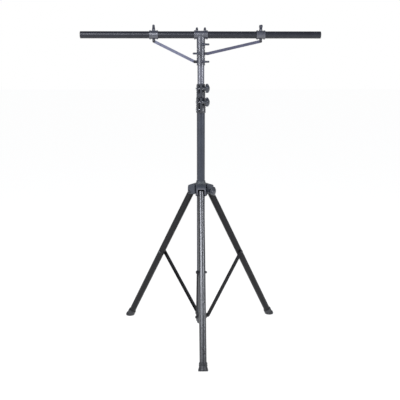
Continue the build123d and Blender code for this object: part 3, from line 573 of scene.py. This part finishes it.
def weld_bead(name, line, closed, body, bead_r):
    """A bead along a line of points in mm: a round rod whose radius ripples as the weld did."""
    line = [Vector(p) for p in line]
    last = len(line) - 1
    points = []
    travelled = 0.0
    for index, centre in enumerate(line):
        if closed:
            before, after = line[index - 1], line[(index + 1) % len(line)]
        else:
            before, after = line[max(index - 1, 0)], line[min(index + 1, last)]
        along = (after - before).normalized()
        steep = abs(along.z) >= 0.95
        side = (along.orthogonal() if steep else along.cross(Vector((0, 0, 1)))).normalized()
        up = along.cross(side)
        if index:
            travelled += (centre - line[index - 1]).length
        radius = bead_r * (ripple_low + ripple_rise * (travelled / ripple_pitch % 1.0))
        for step in range(bead_facets):
            points.append((centre + spoke(side, up, step, bead_facets) * radius) * mm)
    faces = wall_faces(len(line), bead_facets, closed)
    if not closed:
        faces.append(tuple(range(bead_facets)))
        faces.append(tuple(reversed(range(last * bead_facets, len(points)))))
    return new_piece(name, points, faces, head_enamel, body)


lug_bead_r = 1.2
lug_bead_points = 24


def straight_seam(name, start, end, body):
    """The bead along one straight edge of a lug."""
    spacing = 1 / (lug_bead_points - 1)
    line = [Vector(start).lerp(Vector(end), step * spacing) for step in range(lug_bead_points)]
    return weld_bead(name, line, False, body, lug_bead_r)


bar_z = 1577.0
boss_bead_r = 1.0
boss_bead_points = 60


def bar_boss_bead(name, boss_x, boss_r, barrel_r, body):
    """Bead round an upright boss where it meets a barrel that lies along the bar."""
    line = []
    for step in range(boss_bead_points):
        turn = tau * step / boss_bead_points
        y = boss_r * sin(turn)
        line.append((boss_x + boss_r * cos(turn), y, bar_z + sqrt(barrel_r ** 2 - y ** 2)))
    return weld_bead(name, line, True, body, boss_bead_r)


def side_boss_bead(name, azimuth, height, boss_r, barrel_r, body):
    """Bead round a boss that points outwards from an upright barrel."""
    line = []
    for step in range(boss_bead_points):
        turn = tau * step / boss_bead_points
        across = boss_r * cos(turn)
        line.append(outward_at(azimuth) * sqrt(barrel_r ** 2 - across ** 2)
                    + outward_at(azimuth + 90.0) * across
                    + Vector((0, 0, height + boss_r * sin(turn))))
    return weld_bead(name, line, True, body, boss_bead_r)


right_screw_azimuth = -60.0
left_screw_azimuth = -120.0
side_boss_r = 7.2
tee_boss_r = 6.7
tee_screw_x = 20.0
tee_barrel_r = 20.4
sleeve_r = 21.1
sleeve_screw_z = 1530.0
seam_stands_out = 0.1
sleeve_bead_r = 1.4
sleeve_seam_points = 160

sleeve_seam = []
for step in range(sleeve_seam_points):
    turn = tau * step / sleeve_seam_points
    x, y = (sleeve_r + seam_stands_out) * cos(turn), (sleeve_r + seam_stands_out) * sin(turn)
    sleeve_seam.append((x, y, bar_z - sqrt(max(0.0, (tee_barrel_r + seam_stands_out) ** 2 - y ** 2))))
weld_bead("sleeve_seam_weld", sleeve_seam, True, "head", sleeve_bead_r)
for side, screw_x in (("left", -tee_screw_x), ("right", tee_screw_x)):
    bar_boss_bead(f"tee_boss_weld_{side}", screw_x, tee_boss_r, tee_barrel_r, "head")
side_boss_bead("sleeve_boss_weld", right_screw_azimuth, sleeve_screw_z, side_boss_r, sleeve_r, "head")

collar_r = 20.7
lug_half = 7.0
lug_nut_out = 7.0
lug_face_y = 2.4
lug_faces = (("front", -lug_face_y), ("back", lug_face_y))
collar_lugs = (("upper", 34.5, 1486.0, left_screw_azimuth), ("lower", -31.0, 1446.0, right_screw_azimuth))
for level, lug_x, lug_z, screw_azimuth in collar_lugs:
    body = f"{level}_brace_collar"
    side_boss_bead(f"collar_boss_weld_{level}", screw_azimuth, lug_z, side_boss_r, collar_r, body)
    root_x = collar_r if lug_x > 0 else -collar_r
    for face, y in lug_faces:
        straight_seam(f"lug_weld_{level}_{face}", (root_x, y, lug_z - lug_half),
                      (root_x, y, lug_z + lug_half), body)
    locked_nut_end(f"lug_nut_end_{level}", (lug_x, lug_nut_out, lug_z), (0, 1, 0),
                   small_bolt_r, small_ring_r, body)

saddle_places = {"left": -235.0, "right": 299.0}
saddle_barrel_r = 20.5
saddle_boss_r = 8.7
saddle_seam_z = bar_z - tee_barrel_r
for side, saddle_x in saddle_places.items():
    body = f"saddle_{side}"
    bar_boss_bead(f"saddle_boss_weld_{side}", saddle_x, saddle_boss_r, saddle_barrel_r, body)
    for face, y in lug_faces:
        straight_seam(f"saddle_lug_weld_{side}_{face}", (saddle_x - lug_half, y, saddle_seam_z),
                      (saddle_x + lug_half, y, saddle_seam_z), body)


# The slide liners: thin rings of black plastic that stand out of the saddles' ends and of the
# upper clamp's mouth, and keep steel from rubbing on steel.
tube_r = 17.5
liner_clearance = 0.25
liner_inner_r = tube_r + liner_clearance
liner_outer_r = 19.6
liner_bevel = 0.5
liner_sunk = 1.0
liner_bevel_start = 0.7
liner_top = 1.1
liner_facets = 48


def liner_lip(name, place, along, body):
    """The end of a liner, standing liner_top out of its seat; all in mm."""
    outline = [(liner_inner_r, -liner_sunk), (liner_outer_r, -liner_sunk),
               (liner_outer_r, liner_bevel_start), (liner_outer_r - liner_bevel, liner_top),
               (liner_inner_r, liner_top)]
    turned_ring(name, outline, place, along, liner_facets, plug_plastic, body)


saddle_half = 21.5
clamp_mouth_z = 1335.0
for side, saddle_x in saddle_places.items():
    for end in (-1, 1):
        end_name = "outer" if end * saddle_x > 0 else "inner"
        liner_lip(f"saddle_liner_{side}_{end_name}", (saddle_x + end * saddle_half, 0, bar_z), (end, 0, 0),
                  f"saddle_{side}")
liner_lip("clamp_liner", (0, 0, clamp_mouth_z), (0, 0, 1), "middle_mast")


# The struts: flat steel bar with rounded ends, enamelled grey. Both have the same enamel, but the
# left one is painted lighter as painted light and the right one, with its bolt, darker as painted
# shade. A bolt holds each one at its collar, and a domed rivet at its saddle.
rivet_facets = 28
rivet_rows = 6


def domed_head(name, place, along, head_r, rise, body):
    """The shallow dome of a rivet, standing on its head; all in mm."""
    axis, side, up = axes_across(along)
    points = []
    for row in range(rivet_rows):
        lift = pi / 2 * row / rivet_rows
        for step in range(rivet_facets):
            outward = spoke(side, up, step, rivet_facets)
            points.append((Vector(place) + axis * (rise * sin(lift)) + outward * (head_r * cos(lift))) * mm)
    points.append((Vector(place) + axis * rise) * mm)
    faces = wall_faces(rivet_rows, rivet_facets)
    last_row = (rivet_rows - 1) * rivet_facets
    for step in range(rivet_facets):
        faces.append((last_row + step, last_row + (step + 1) % rivet_facets, rivet_rows * rivet_facets))
    faces.append(tuple(reversed(range(rivet_facets))))
    return new_piece(name, points, faces, blackened, body)


# Lit and shaded copies of the one strut enamel: the left is painted lighter as painted light, the right
# darker as painted shade.
left_strut_painted_light = coat_finish("left_strut_painted_light", dark=(0.150, 0.155, 0.215),
                                light=(0.185, 0.190, 0.260), rough=(0.30, 0.38))
right_strut_painted_shade = coat_finish("right_strut_painted_shade", dark=(0.075, 0.076, 0.115),
                                 light=(0.100, 0.101, 0.150), rough=(0.30, 0.38))
paint(left_strut_painted_light, "strut_left")
paint(right_strut_painted_shade, "strut_right", "strut_bolt_right")
paint(blackened, "strut_bolt_left")

rivet_y = -9.1
rivet_z = 1546.0
rivet_r = 6.2
rivet_rise = 1.6
for side, saddle_x in saddle_places.items():
    domed_head(f"saddle_rivet_dome_{side}", (saddle_x, rivet_y, rivet_z), (0, -1, 0), rivet_r, rivet_rise,
               f"saddle_{side}")


# The wing screws: cast zinc wings on steel studs, barrelled smooth and blackened. They clamp the
# bar in the T head, the T head and the brace collars on the mast, and the saddles on the bar.
wing_black = coat_finish("wing_blackening", dark=(0.034, 0.038, 0.056), light=(0.060, 0.066, 0.090),
                         rough=(0.28, 0.38))
paint(wing_black, "tee_screw_left", "tee_screw_right", "sleeve_screw", "collar_screw_upper",
      "collar_screw_lower", "saddle_screw_left", "saddle_screw_right")
